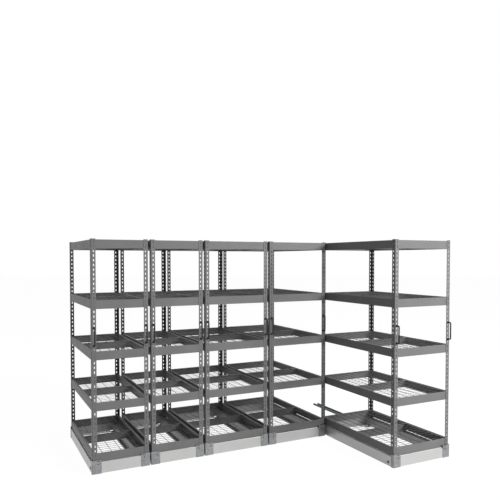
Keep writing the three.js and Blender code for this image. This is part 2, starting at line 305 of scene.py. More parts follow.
def makeDustFall():  # settles on what faces up, in patches
    group, given, out = startGroup("dustFall", [("Amount", "Float")], [("Mask", "Float")])
    normal = addNode(group, "ShaderNodeNewGeometry").outputs["Normal"]
    up = addNode(group, "ShaderNodeSeparateXYZ", {"Vector": normal}).outputs["Z"]
    noise = noiseOf(group, stretched(group), pattern["patchScale"], pattern["patchDetail"])
    patches = ranged(group, noise, *pattern["patchRange"])
    lying = sums(group, "MULTIPLY", ranged(group, up, *pattern["facingUp"]), patches)
    group.links.new(sums(group, "MULTIPLY", lying, given["Amount"]), out["Mask"])
    return group


def makeScuffs():  # short thin rubs from loading and sliding
    group, given, out = startGroup("scuffs", [("Amount", "Float")], [("Mask", "Float")])
    longways = noiseOf(group, stretched(group, pattern["longStretch"]), 1, pattern["rubDetail"])
    upright = noiseOf(group, stretched(group, pattern["uprightStretch"]), 1, pattern["rubDetail"])
    noise = noiseOf(group, stretched(group), pattern["zoneScale"], pattern["zoneDetail"])
    zones = ranged(group, noise, *pattern["zoneRange"])
    lines = sums(group, "MAXIMUM", ranged(group, longways, *pattern["longRange"]),
                 ranged(group, upright, *pattern["uprightRange"]))
    group.links.new(sums(group, "MULTIPLY", sums(group, "MULTIPLY", lines, zones), given["Amount"]),
                    out["Mask"])
    return group


def makeFineGrain():  # the texture of the surface itself, as a height
    group, given, out = startGroup(
        "fineGrain", [("Peel", "Float"), ("Brush", "Float"), ("Scale", "Float")], [("Height", "Float")])
    peel = noiseOf(group, stretched(group), given["Scale"], pattern["peelDetail"])
    brushed = noiseOf(group, stretched(group, pattern["brushStretch"]), 1, pattern["brushDetail"])
    height = sums(group, "ADD", sums(group, "MULTIPLY", peel, given["Peel"]),
                  sums(group, "MULTIPLY", brushed, given["Brush"]))
    group.links.new(height, out["Height"])
    return group


def makeSpangle():  # zinc crystals, each with its own shade
    group, given, out = startGroup(
        "spangle", [("Depth", "Float"), ("Scale", "Float")], [("Shade", "Float")])
    place = stretched(group)
    shades = []
    for size in pattern["crystalSizes"]:
        cells = addNode(group, "ShaderNodeTexVoronoi",
                        {"Vector": place, "Scale": sums(group, "MULTIPLY", given["Scale"], size)})
        shades.append(addNode(group, "ShaderNodeSeparateColor",
                              {"Color": cells.outputs["Color"]}).outputs["Red"])
    both = sums(group, "MULTIPLY", sums(group, "ADD", *shades), 1 / len(shades))
    swing = sums(group, "MULTIPLY", ranged(group, both, 0, 1, -1, 1), given["Depth"])
    group.links.new(sums(group, "ADD", swing, 1), out["Shade"])
    return group


effects = {"tone": makeToneDrift(), "dust": makeDustFall(), "scuff": makeScuffs(),
           "grain": makeFineGrain(), "spangle": makeSpangle()}


def useEffect(tree, name, links):
    return addNode(tree, "ShaderNodeGroup", links, node_tree=effects[name]).outputs[0]


# One dictionary for each finish: what a user would change

plainLook = {"metallic": 0, "shine": 0.5, "toneDepth": 0.05, "toneScale": 6,
             "dust": 0, "dustColour": (0.42, 0.415, 0.41, 1),
             "scuff": 0, "scuffColour": (0.3, 0.3, 0.3, 1), "spangle": 0, "spangleScale": 120,
             "peel": 1, "brush": 0, "grainScale": 700, "bump": 0.15, "roughSwing": 0.06}

looks = {
    "greyPaint": {"colour": (0.187, 0.187, 0.187, 1), "roughness": 0.48, "shine": 0.3, "dust": 0.3,
                  "scuff": 0.35, "toneDepth": 0.06, "bump": 0.12},
    # painted shade: a darker copy of the grey paint for the posts' inner sides, standing in for the shade
    # there
    "paintedShadePostGrey": {"colour": (0.07, 0.07, 0.07, 1), "roughness": 0.5, "shine": 0.25, "toneDepth": 0.08,
                  "bump": 0.12},
    "deckWire": {"colour": (0.1, 0.1, 0.102, 1), "roughness": 0.45, "shine": 0.3, "toneDepth": 0.1},
    "satinAluminium": {"colour": (0.56, 0.56, 0.555, 1), "roughness": 0.34, "metallic": 0.4,
                       "peel": 0.1, "brush": 1, "bump": 0.04, "scuff": 0.25, "roughSwing": 0.03,
                       "scuffColour": (0.4, 0.4, 0.4, 1), "toneDepth": 0.035, "toneScale": 2.5},
    # painted shade: a darker copy of the satin aluminium for inner sides and inner walls, standing in for
    # the shade there
    "paintedShadeAluminium": {"colour": (0.37, 0.37, 0.368, 1), "roughness": 0.42, "metallic": 0.3,
                      "peel": 0.1, "brush": 1, "bump": 0.04, "dust": 0.1, "toneDepth": 0.05},
    # painted highlight: a mirror-bright finish for the strip in the rail slit
    "paintedHighlightStrip": {"colour": (0.85, 0.855, 0.86, 1), "roughness": 0.05, "metallic": 1, "toneDepth": 0.02,
                    "bump": 0.01, "roughSwing": 0.02},
    "galvanised": {"colour": (0.28, 0.286, 0.295, 1), "roughness": 0.42, "metallic": 0.45,
                   "spangle": 0.5, "spangleScale": 150, "bump": 0.1, "toneDepth": 0.08,
                   "roughSwing": 0.14},
    "trackSlate": {"colour": (0.045, 0.075, 0.07, 1), "roughness": 0.45, "metallic": 0.35, "dust": 0.4,
                   "scuff": 0.5, "scuffColour": (0.2, 0.22, 0.21, 1), "toneDepth": 0.1},
    "turnedSteel": {"colour": (0.42, 0.425, 0.43, 1), "roughness": 0.3, "metallic": 0.9,
                    "toneDepth": 0.06, "grainScale": 1400, "bump": 0.1},
    "zincBolt": {"colour": (0.25, 0.257, 0.265, 1), "roughness": 0.4, "metallic": 0.5,
                 "toneDepth": 0.1, "spangle": 0.1},
    "darkSteel": {"colour": (0.03, 0.031, 0.033, 1), "roughness": 0.5, "metallic": 0.3, "toneDepth": 0.1},
    "blackHandle": {"colour": (0.008, 0.008, 0.009, 1), "roughness": 0.5, "shine": 0.3, "scuff": 0.15,
                    "scuffColour": (0.06, 0.06, 0.06, 1), "bump": 0.1},
    "blackRubber": {"colour": (0.016, 0.016, 0.017, 1), "roughness": 0.75, "dust": 0.5, "bump": 0.4,
                    "toneDepth": 0.15, "grainScale": 500},
}


def makeFinish(name, own):
    look = {**plainLook, **own}
    finish = bpy.data.materials.new(name)
    finish.use_nodes = True
    tree = finish.node_tree
    shader = tree.nodes["Principled BSDF"]
    base = useEffect(tree, "tone", {"Colour": look["colour"], "Depth": look["toneDepth"],
                                    "Scale": look["toneScale"]})
    noise = noiseOf(tree, stretched(tree), pattern["roughScale"], pattern["roughDetail"])
    roughness = ranged(tree, noise, *pattern["noiseRange"], look["roughness"] - look["roughSwing"],
                       look["roughness"] + look["roughSwing"])
    if look["spangle"]:
        shade = useEffect(tree, "spangle", {"Depth": look["spangle"], "Scale": look["spangleScale"]})
        base = addNode(tree, "ShaderNodeHueSaturation", {"Color": base, "Value": shade}).outputs["Color"]
    if look["scuff"]:
        rubs = useEffect(tree, "scuff", {"Amount": look["scuff"]})
        base = mixed(tree, rubs, base, look["scuffColour"])
    if look["dust"]:
        lying = useEffect(tree, "dust", {"Amount": look["dust"]})
        base = mixed(tree, lying, base, look["dustColour"])
        roughness = sums(tree, "ADD", roughness, sums(tree, "MULTIPLY", lying, pattern["dustRoughness"]))
    height = useEffect(tree, "grain", {"Peel": look["peel"], "Brush": look["brush"],
                                       "Scale": look["grainScale"]})
    relief = addNode(tree, "ShaderNodeBump", {"Height": height, "Strength": look["bump"],
                                              "Distance": pattern["reliefDepth"]})
    tree.links.new(base, shader.inputs["Base Color"])
    tree.links.new(roughness, shader.inputs["Roughness"])
    tree.links.new(relief.outputs["Normal"], shader.inputs["Normal"])
    shader.inputs["Metallic"].default_value = look["metallic"]
    shader.inputs["Specular IOR Level"].default_value = look["shine"]
    return finish


finishes = {name: makeFinish(name, own) for name, own in looks.items()}
print("stage: finishes made")


# Where each carriage stands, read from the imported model

def standing(number):
    carriage = f"carriage_{number}"
    leftPost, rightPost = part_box(f"{carriage}_post_rear_left"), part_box(f"{carriage}_post_rear_right")
    frontPost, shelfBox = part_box(f"{carriage}_post_front_left"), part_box(f"{carriage}_shelf_2")
    seat = shelfBox[0][0] - leftPost[0][0]
    return {
        "number": number, "name": carriage, "seat": seat,
        "left": leftPost[0][0], "right": rightPost[1][0], "rear": leftPost[1][1],
        "front": shelfBox[0][1] - seat, "foot": leftPost[0][2], "top": leftPost[1][2],
        "handleFront": frontPost[0][1],
        "trackBox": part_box(f"{carriage}_tracks"), "frontWheelBox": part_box(f"{carriage}_front_wheels"),
        "rearWheelBox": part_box(f"{carriage}_rear_wheels"),
    }


places = [standing(number) for number in carriageNumbers]


def midX(place):
    return (place["left"] + place["right"]) / 2


def midY(place):
    return (place["front"] + place["rear"]) / 2


# Slotted-angle posts

post = {"flange": 0.038, "steel": 0.0025, "bend": 0.0045, "bendSteps": 2, "pitch": 0.0381,
        "slotWidth": 0.0088, "slotHeight": 0.0195, "slotPlace": 0.0215, "topMargin": 0.0044,
        "notchFrom": 0.013, "notchTop": 0.026}


def postTemplate(height):
    # the front left post with its outer corner at the origin, standing on its foot
    bm = bmesh.new()
    cells = int((height - post["topMargin"]) // post["pitch"])
    lowest = height - post["topMargin"] - cells * post["pitch"]
    ring = slotLoop(bm, post["slotWidth"], post["slotHeight"])
    rim = slotLoop(bm, 1, 1)
    clear = post["flange"] - post["bend"]
    for vert in rim:  # a circle pushed out to a rectangle
        reach = max(abs(vert.co.x), abs(vert.co.z)) * 2
        vert.co.x *= clear / reach
        vert.co.z *= post["pitch"] / reach
    bmesh.ops.translate(bm, vec=(post["bend"] + clear / 2, 0, post["pitch"] / 2), verts=rim)
    bmesh.ops.translate(bm, vec=(post["slotPlace"], 0, post["pitch"] / 2), verts=ring)
    bmesh.ops.bridge_loops(bm, edges=loopEdges(ring) + loopEdges(rim))
    cell = everything(bm)
    for step in range(1, cells):
        copy = bmesh.ops.duplicate(bm, geom=cell)
        bmesh.ops.translate(bm, vec=(0, 0, step * post["pitch"]), verts=onlyVerts(copy))
    bmesh.ops.translate(bm, vec=(0, 0, lowest), verts=bm.verts)
    bmesh.ops.remove_doubles(bm, verts=bm.verts, dist=mergeGap)
    for end, level in ((0, lowest), (height, height - post["topMargin"])):
        rows = [e for e in bm.edges if all(abs(v.co.z - level) < mergeGap for v in e.verts)]
        drawnOut(bm, rows, (0, 0, end - level))
    corner = [e for e in bm.edges if e.is_boundary
              and all(abs(v.co.x - post["bend"]) < mergeGap for v in e.verts)]
    bmesh.ops.spin(bm, geom=corner + list({v for e in corner for v in e.verts}),
                   cent=(post["bend"], post["bend"], 0), axis=zAxis, angle=-math.pi / 4,
                   steps=post["bendSteps"])
    other = bmesh.ops.duplicate(bm, geom=everything(bm))
    bmesh.ops.transform(bm, matrix=toSide, verts=onlyVerts(other))
    faceOut(bm, -yAxis)
    return bm


def addPosts(place, plain, notched):
    toRight = mirrorAt(xAxis, midX(place))
    toRear = mirrorAt(yAxis, midY(place))
    at = shifted((place["left"], place["front"], place["foot"]))
    for depthWord, template, depthTurn in (("front", plain, inPlace), ("rear", notched, toRear)):
        for sideWord, sideTurn in (("left", inPlace), ("right", toRight)):
            bm = bmesh.new()
            pour(bm, template, sideTurn @ depthTurn @ at)
            node = f"{place['name']}_post_{depthWord}_{sideWord}"
            # the posts' inner sides take the darker grey, a painted shade
            addPiece(bm, f"{place['name']}_{depthWord}_{sideWord}_slotted_post", "greyPaint",
                     place["name"], [node], wall=post["steel"], paintedShadeInside="paintedShadePostGrey")


plainPost = postTemplate(places[0]["top"] - places[0]["foot"])
copedPost = copedSheet(plainPost, post["notchFrom"], post["notchTop"] - places[0]["foot"])
for place in places:
    addPosts(place, plainPost, copedPost)
print("stage: posts stand")


# Pull handles, one bent rod on each front post

handle = {"length": 0.16, "centre": 1.138, "rod": 0.012, "bend": 0.011, "inset": 0.020, "sides": 12,
          "bendSteps": 5, "footRadius": 0.0095, "footRise": 0.003, "footEdge": 0.001, "footSides": 16}


def bentRod(standOff):
    bm = bmesh.new()
    half, straight = handle["rod"] / 2, standOff - handle["rod"] / 2 - handle["bend"]
    low = -handle["length"] / 2 + half
    ring = bmesh.ops.create_circle(bm, segments=handle["sides"], radius=half,
                                   matrix=shifted((0, 0, low)) @ aboutX)["verts"]
    edges = loopEdges(ring)

    def push(edges, shift):
        return loopEdges(drawnOut(bm, edges, shift))

    def curl(edges, centre):
        verts = list({v for e in edges for v in e.verts})
        swept = bmesh.ops.spin(bm, geom=edges + verts, cent=centre, axis=xAxis, angle=-math.pi / 2,
                               steps=handle["bendSteps"])
        return loopEdges(onlyVerts(swept, "geom_last"))

    edges = push(edges, (0, -straight, 0))
    edges = curl(edges, (0, -straight, low + handle["bend"]))
    edges = push(edges, (0, 0, -2 * low - 2 * handle["bend"]))
    edges = curl(edges, (0, -straight, -low - handle["bend"]))
    push(edges, (0, straight, 0))
    bmesh.ops.holes_fill(bm, edges=[e for e in bm.edges if e.is_boundary], sides=0)
    closeSolid(bm)
    radius, rise, edge = handle["footRadius"], handle["footRise"], handle["footEdge"]
    foot = turned([(0, 0), (0, radius), (rise - edge, radius), (rise, radius - edge), (rise, 0)],
                  handle["footSides"])
    for level in (low, -low):
        pour(bm, foot, shifted((0, 0, level)) @ toFront)
    return bm


def addHandles(place):
    rod = bentRod(place["front"] - place["handleFront"])
    for side, x in (("left", place["left"] + handle["inset"]), ("right", place["right"] - handle["inset"])):
        bm = bmesh.new()
        pour(bm, rod, shifted((x, place["front"], handle["centre"])))
        addPiece(bm, f"{place['name']}_{side}_pull_handle", "blackHandle", place["name"],
                 [f"{place['name']}_post_front_{side}"], smooth=True)


for place in places:
    addHandles(place)
print("stage: handles fitted")


# Shelves: four folded beams, a cross tie and a welded wire deck

shelf = {"beamHeight": 0.072, "hem": 0.004, "ledge": 0.020, "lip": 0.010, "steel": 0.0018, "bend": 0.0018,
         "tieHeight": 0.062, "tieFlange": 0.022, "tieDrop": 0.0047,
         "bottomTieHeight": 0.069, "bottomTieDrop": 0.0105,
         "wire": 0.004, "wirePitch": 0.077, "wireInset": 0.006, "wireSink": 0.0004,
         "crossWire": 0.003, "crossPitch": 0.051, "crossSink": 0.0004, "wireSides": 6}


def mitredSheet(section, length, bend):  # a folded sheet with both ends cut at 45 degrees
    bm = foldedSheet(section, length, bend)
    cutBeyond(bm, (0, 0, 0), (-1, 1, 0))
    cutBeyond(bm, (length, 0, 0), (1, 1, 0))
    return bm


def ringOf(acrossSheet, alongSheet, width, depth):
    # the two sheets and their mirror images round a rectangle with its corner at the origin
    bm = bmesh.new()
    pour(bm, acrossSheet)
    pour(bm, acrossSheet, mirrorAt(yAxis, depth / 2))
    pour(bm, alongSheet, toSide)
    pour(bm, alongSheet, mirrorAt(xAxis, width / 2) @ toSide)
    return bm


def shelfTop(place, number):
    node = f"{place['name']}_shelf_{number}" if number > 1 else f"{place['name']}_base"
    return node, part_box(node)[1][2]


def deckOf(place, top):  # long wires lie on the beams' ledges, cross wires hang under them
    bm = bmesh.new()
    inner = shelf["ledge"] + place["seat"]
    level = top - shelf["wireSink"] - shelf["wire"]
    depth, halfClear = place["rear"] - place["front"], (place["right"] - place["left"]) / 2 - inner
    perSide = int((halfClear - shelf["wire"]) // shelf["wirePitch"])
    run = depth - 2 * (place["seat"] + shelf["wireInset"])
    for step in range(-perSide, perSide + 1):
        centre = (midX(place) + step * shelf["wirePitch"], midY(place), level + shelf["wire"] / 2)
        addCone(bm, shelf["wireSides"], shelf["wire"] / 2, run, shifted(centre) @ aboutX)
    reach = depth / 2 - inner - shelf["crossWire"]
    perEnd = int((reach - shelf["crossPitch"] / 2) // shelf["crossPitch"]) + 1
    for step in range(perEnd):
        for way in (-1, 1):
            y = midY(place) + way * (step + 0.5) * shelf["crossPitch"]
            centre = (midX(place), y, level + shelf["crossSink"] - shelf["crossWire"] / 2)
            addCone(bm, shelf["wireSides"], shelf["crossWire"] / 2, 2 * halfClear,
                    shifted(centre) @ aboutY)
    return bm


def addShelf(place, number):
    node, top = shelfTop(place, number)
    label = f"{place['name']}_level_{number}"
    width = place["right"] - place["left"] - 2 * place["seat"]
    depth = place["rear"] - place["front"] - 2 * place["seat"]
    height = shelf["beamHeight"]
    hem, step = shelf["hem"], height - shelf["wire"]
    section = [(shelf["lip"], 0), (0, 0), (0, height), (hem, height), (hem, step), (shelf["ledge"], step)]
    corner = (place["left"] + place["seat"], place["front"] + place["seat"], top - height)
    across, along = mitredSheet(section, width, shelf["bend"]), mitredSheet(section, depth, shelf["bend"])
    beams = ringOf(across, along, width, depth)
    moveWhole(beams, shifted(corner))
    addPiece(beams, f"{label}_folded_beams", "greyPaint", place["name"], [node],
             wall=shelf["steel"])
    tieFlange = shelf["tieFlange"]
    tieHeight, tieDrop = shelf["tieHeight"], shelf["tieDrop"]
    if number == 1:  # the bottom shelf's tie is taller and lies lower
        tieHeight, tieDrop = shelf["bottomTieHeight"], shelf["bottomTieDrop"]
    tie = foldedSheet([(tieFlange, 0), (0, 0), (0, tieHeight), (tieFlange, tieHeight)],
                      width - 2 * shelf["steel"], shelf["bend"])
    moveWhole(tie, shifted((place["left"] + place["seat"] + shelf["steel"],
                                       midY(place) - tieFlange / 2, top - tieDrop - tieHeight)))
    addPiece(tie, f"{label}_cross_tie", "greyPaint", place["name"], [node],
             wall=shelf["steel"])
    addPiece(deckOf(place, top), f"{label}_wire_deck", "deckWire", place["name"], [node],
             smooth=True)


for place in places:
    for number in shelfNumbers:
        addShelf(place, number)
print("stage: shelves built")


# Rolling base: aluminium plates and side rails, galvanised corner brackets

base = {"bottom": 0.012, "plateTop": 0.106, "railTop": 0.1004, "steel": 0.003, "bend": 0.0016,
        "floorFlange": 0.022, "topFlange": 0.025, "boxWidth": 0.070, "boxBottom": 0.022,
        "out": 0.005, "postGap": 0.0015, "notchHalf": 0.038, "notchTop": 0.026,
        "rearLift": 0.0085, "rearFlange": 0.003}
# sizes of the strip that carries the painted highlight
strip = {"width": 0.011, "inset": 0.0135, "steel": 0.001, "seat": 0.0002}
bracket = {"face": 0.078, "side": 0.033, "bottom": 0.010, "top": 0.122, "steel": 0.0018, "reach": 0.0068,
           "bend": 0.004, "lip": 0.004, "slotPlace": 0.054, "slotRise": 0.104, "slotWidth": 0.017,
           "slotTall": 0.007, "cellHalf": 0.012, "cellTall": 0.006, "copeFrom": 0.0198, "copeTop": 0.016}
bolt = {"head": 0.0038, "rise": 0.0012, "sides": 6, "topShare": 0.86, "washer": 0.0056,
        "washerShare": 1 / 3, "washerSides": 12}
boltSpots = [(0.015, 0.082), (0.069, 0.082), (0.015, 0.018), (0.069, 0.018)]  # from the outer corner
plug = {"radius": 0.0052, "rise": 0.0011, "place": 0.050, "height": 0.080, "sideShare": 0.6,
        "faceShare": 0.8, "sides": 12}
tab = {"width": 0.011, "depth": 0.006, "bottom": 0.094, "top": 0.122, "shift": 0.005, "gap": 0.001,
       "edge": 0.001}
tabCarriages = [4, 5]


def baseMember(length, top, lift=0, flange=base["floorFlange"]):
    # its top flange runs between the posts only
    height = top - base["bottom"]
    bm = mitredSheet([(flange, lift), (0, lift), (0, height), (base["topFlange"], height)],
                     length, base["bend"])
    clear = base["out"] + post["flange"] + base["postGap"]
    for x in (clear, length - clear):
        scoreAt(bm, (x, 0, 0), xAxis)
    dropFaces(bm, lambda at: at.z > height - mergeGap and not clear < at.x < length - clear)
    return bm


def innerWall(length):  # the side rail's flange goes on inwards and down to a wall above the channel
    height, start = base["railTop"] - base["bottom"], strip["inset"] + strip["width"] / 2
    bm = foldedSheet([(start, height), (base["boxWidth"], height),
                      (base["boxWidth"], base["boxBottom"] - base["bottom"])],
                     length - 2 * base["steel"], base["bend"])
    clear = base["out"] + post["flange"] + base["postGap"]
    moveWhole(bm, shifted((base["steel"], 0, 0)))
    scoreAt(bm, (0, clear, 0), yAxis)
    for x in (clear, length - clear):
        scoreAt(bm, (x, 0, 0), xAxis)
    dropFaces(bm, lambda at: at.y < clear and not clear < at.x < length - clear)
    return bm


def coped(plate, centres):  # room for the channels under the rear plate
    bm = plate.copy()
    top = base["notchTop"] - base["bottom"]
    scoreAt(bm, (0, 0, top), zAxis)
    for centre in centres:
        low, high = centre - base["notchHalf"], centre + base["notchHalf"]
        scoreAt(bm, (low, 0, 0), xAxis)
        scoreAt(bm, (high, 0, 0), xAxis)
        dropFaces(bm, lambda at: low < at.x < high and at.z < top)
    return bm


def addBase(place):
    label, nodes = place["name"], [f"{place['name']}_base"]
    out, low = base["out"], base["bottom"]
    width, depth = place["right"] - place["left"] + 2 * out, place["rear"] - place["front"] + 2 * out
    corner = shifted((place["left"] - out, place["front"] - out, low))
    plate, rail = baseMember(width, base["plateTop"]), baseMember(depth, base["railTop"])
    channelPlace = place["trackBox"][0][0] + channel["width"] / 2 - place["left"] + out
    raised = baseMember(width, base["plateTop"], base["rearLift"], base["rearFlange"])
    rear = coped(raised, [channelPlace, width - channelPlace])
    parts = {"front_plate": (plate, corner), "rear_plate": (rear, corner @ mirrorAt(yAxis, depth / 2)),
             "left_rail": (rail, corner @ toSide),
             "right_rail": (rail, corner @ mirrorAt(xAxis, width / 2) @ toSide)}
    for word, (sheet, matrix) in parts.items():
        bm = bmesh.new()
        pour(bm, sheet, matrix)
        # outer faces in satin aluminium, inner sides in its darker copy, a painted shade
        addPiece(bm, f"{label}_base_{word}", "satinAluminium", place["name"], nodes,
                 wall=base["steel"], paintedShadeInside="paintedShadeAluminium")
    inner, walls = innerWall(depth), bmesh.new()
    for way in (inPlace, mirrorAt(xAxis, width / 2)):
        pour(walls, inner, corner @ way @ toSide)
    # the inner walls take the darker aluminium, a painted shade
    addPiece(walls, f"{label}_rail_inner_walls", "paintedShadeAluminium", place["name"], nodes,
             wall=base["steel"])
    addPaintedHighlight(place, depth - 2 * (out + post["flange"] + base["postGap"]))


def addPaintedHighlight(place, length):  # a painted highlight: a mirror-bright strip on the right rail, in the slit below the beam, standing in for the bright background seen through the slit
    bm = roundedBlock((strip["width"], length, strip["steel"]), strip["steel"] / 4, 1)
    stripX = place["right"] + base["out"] - strip["inset"]
    moveWhole(bm, shifted((stripX, midY(place), base["railTop"] + strip["seat"])))
    addPiece(bm, f"{place['name']}_rail_painted_highlight_strip", "paintedHighlightStrip", place["name"],
             [f"{place['name']}_base"])


def bracketTemplate():  # the front left bracket, its outer corner at the origin
    bm = bmesh.new()
    lines = chain(bm, [(0, bracket["side"], 0), (0, 0, 0), (bracket["face"], 0, 0)])[1]
    height = bracket["top"] - bracket["bottom"]
    drawnOut(bm, lines, (0, 0, height))
    roundEdges(bm, [e for e in bm.edges if len(e.link_faces) == 2], bracket["bend"], 2)
    faceOut(bm, -yAxis)
    for x in (-1, 1):
        scoreAt(bm, (bracket["slotPlace"] + x * bracket["cellHalf"], 0, 0), xAxis)
    for z in (-1, 1):
        scoreAt(bm, (0, 0, bracket["slotRise"] + z * bracket["cellTall"]), zAxis)
    slotAt = Vector((bracket["slotPlace"], 0, bracket["slotRise"]))
    cell = min(bm.faces, key=lambda face: (face.calc_center_median() - slotAt).length)
    punchSlot(bm, cell, slotAt, bracket["slotWidth"], bracket["slotTall"])
    bm.normal_update()
    topEdges = [e for e in bm.edges if all(abs(v.co.z - height) < mergeGap for v in e.verts)]
    ways = {tuple(v.co): v.normal.copy() for e in topEdges for v in e.verts}
    lip = bmesh.ops.extrude_edge_only(bm, edges=topEdges)
    for vert in onlyVerts(lip):
        vert.co -= ways[tuple(vert.co)] * bracket["lip"]
    faceOut(bm, -yAxis)
    return bm


def boltHead():
    washerRise = bolt["rise"] * bolt["washerShare"]
    bm = turned([(0, 0), (0, bolt["washer"]), (washerRise, bolt["washer"]), (washerRise, 0)],
                bolt["washerSides"])
    addCone(bm, bolt["sides"], bolt["head"], bolt["rise"], shifted((bolt["rise"] / 2, 0, 0)) @ aboutY,
            bolt["topShare"])
    closeSolid(bm)
    moveWhole(bm, toFront)
    return bm


def plugDisc():
    radius, rise = plug["radius"], plug["rise"]
    bm = turned([(0, 0), (0, radius), (rise * plug["sideShare"], radius),
                 (rise, radius * plug["faceShare"]), (rise, 0)], plug["sides"])
    moveWhole(bm, toFront)
    return bm


def addBrackets(place, sheet, head, stopper):
    label, nodes = place["name"], [f"{place['name']}_base"]
    corner = shifted((place["left"] - bracket["reach"], place["front"] - bracket["reach"],
                                 bracket["bottom"]))
    toRight, toRear = mirrorAt(xAxis, midX(place)), mirrorAt(yAxis, midY(place))
    turns = {"front_left": inPlace, "front_right": toRight, "rear_left": toRear,
             "rear_right": toRight @ toRear}
    rearSheet = copedSheet(sheet, bracket["copeFrom"], bracket["copeTop"])
    bolts, plugs = bmesh.new(), bmesh.new()
    rearLow = bracket["copeTop"] + 2 * bolt["washer"]
    for word, turn in turns.items():
        bm, atRear = bmesh.new(), word.startswith("rear")
        pour(bm, rearSheet if atRear else sheet, turn @ corner)
        addPiece(bm, f"{label}_{word}_bracket", "galvanised", place["name"], nodes,
                 wall=bracket["steel"])
        for x, z in boltSpots:
            level = max(z, rearLow) if atRear and x > bracket["copeFrom"] else z
            pour(bolts, head, turn @ corner @ shifted((x, 0, level)))
        pour(plugs, stopper, turn @ corner @ shifted((plug["place"], 0, plug["height"])))
    addPiece(bolts, f"{label}_bracket_bolts", "zincBolt", place["name"], nodes, smooth=True)
    addPiece(plugs, f"{label}_bracket_plugs", "blackRubber", place["name"], nodes, smooth=True)
    # a small dark block in front of the right front bracket's inner top corner, drawn on carriages 4 and 5
    # only
    if place["number"] in tabCarriages:
        bm = roundedBlock((tab["width"], tab["depth"], tab["top"] - tab["bottom"]), tab["edge"])
        inner = place["right"] + bracket["reach"] - bracket["face"]
        moveWhole(bm, shifted((inner - tab["shift"],
                                          place["front"] - tab["depth"] / 2 - tab["gap"],
                                          (tab["top"] + tab["bottom"]) / 2)))
        addPiece(bm, f"{label}_dark_tab", "blackRubber", place["name"], nodes)


bush = {"radius": 0.0125, "rise": 0.003, "step": 0.0085, "flangeShare": 0.6, "stepShare": 0.7,
        "sides": 14}


def addBushes(place):  # a flanged bush on the inner walls for each axle
    radius, rise, step = bush["radius"], bush["rise"], bush["step"]
    disc = turned([(0, 0), (0, radius), (rise * bush["flangeShare"], radius),
                   (rise * bush["stepShare"], step), (rise, step), (rise, 0)], bush["sides"])
    toRight, bm = mirrorAt(xAxis, midX(place)), bmesh.new()
    wall = place["left"] - base["out"] + base["boxWidth"]
    for low, high in (place["frontWheelBox"], place["rearWheelBox"]):
        at = shifted((wall, (low[1] + high[1]) / 2, (low[2] + high[2]) / 2))
        for turn in (inPlace, toRight):
            pour(bm, disc, turn @ at)
    addPiece(bm, f"{place['name']}_axle_bushes", "darkSteel", place["name"],
             [f"{place['name']}_base"], smooth=True)


# Floor channels with their gauge bar, stops and screws

channel = {"width": 0.066, "height": 0.020, "slot": 0.034, "steel": 0.003, "bend": 0.003,
           "stopLength": 0.024, "stopStart": 0.003, "barWidth": 0.040, "barThickness": 0.004,
           "barStart": 0.102, "edge": 0.001, "screwStart": 0.06, "screwPitch": 0.238,
           "screwRadius": 0.0055, "screwRise": 0.0016, "screwTopShare": 0.6, "screwSides": 10}
shoe = {"stem": 0.020, "foot": 0.044, "bottom": 0.007, "footTop": 0.012, "top": 0.060, "depth": 0.010,
        "behindPost": 0.0024, "boltSpread": 0.014, "boltRise": 0.075, "edge": 0.0008}


def addTracks(place):
    label, nodes = place["name"], [f"{place['name']}_tracks"]
    low, high = place["trackBox"]
    lip = (channel["width"] - channel["slot"]) / 2
    wide, tall = channel["width"], channel["height"]
    sheet = foldedSheet([(lip, tall), (0, tall), (0, 0), (wide, 0), (wide, tall), (wide - lip, tall)],
                        high[1] - low[1], channel["bend"])
    toRight = mirrorAt(xAxis, (low[0] + high[0]) / 2)
    at = shifted((low[0], low[1], 0))
    for side, turn in (("left", inPlace), ("right", toRight)):
        bm = bmesh.new()
        pour(bm, sheet, turn @ at @ toSide)
        addPiece(bm, f"{label}_{side}_floor_channel", "trackSlate", "floor_tracks", nodes,
                 wall=channel["steel"])
    fittings = bmesh.new()
    stopSize = (lip - channel["steel"], channel["stopLength"], tall - 2 * channel["steel"])
    stop = roundedBlock(stopSize, channel["edge"])
    stopY = low[1] + channel["stopStart"] + channel["stopLength"] / 2
    centre = low[0] + wide / 2
    for way in (-1, 1):
        shift = way * (channel["slot"] / 2 + stopSize[0] / 2)
        for turn in (inPlace, toRight):
            pour(fittings, stop, turn @ shifted((centre + shift, stopY, tall / 2)))
    screw = bmesh.new()
    addCone(screw, channel["screwSides"], channel["screwRadius"], channel["screwRise"],
            taper=channel["screwTopShare"])
    screwLevel = channel["steel"] + channel["screwRise"] / 2
    y = low[1] + channel["screwStart"]
    while y < high[1] - channel["screwStart"] / 2:
        for turn in (inPlace, toRight):
            pour(fittings, screw, turn @ shifted((centre, y, screwLevel)))
        y += channel["screwPitch"]
    addPiece(fittings, f"{label}_track_stops", "turnedSteel", "floor_tracks", nodes)
    barLength = high[0] - low[0] - 2 * wide + channel["steel"]
    bar = roundedBlock((barLength, channel["barWidth"], channel["barThickness"]), channel["edge"])
    moveWhole(bar, shifted(((low[0] + high[0]) / 2,
                                       low[1] + channel["barStart"] + channel["barWidth"] / 2,
                                       channel["barThickness"] / 2)))
    addPiece(bar, f"{label}_gauge_bar", "trackSlate", "floor_tracks", nodes)


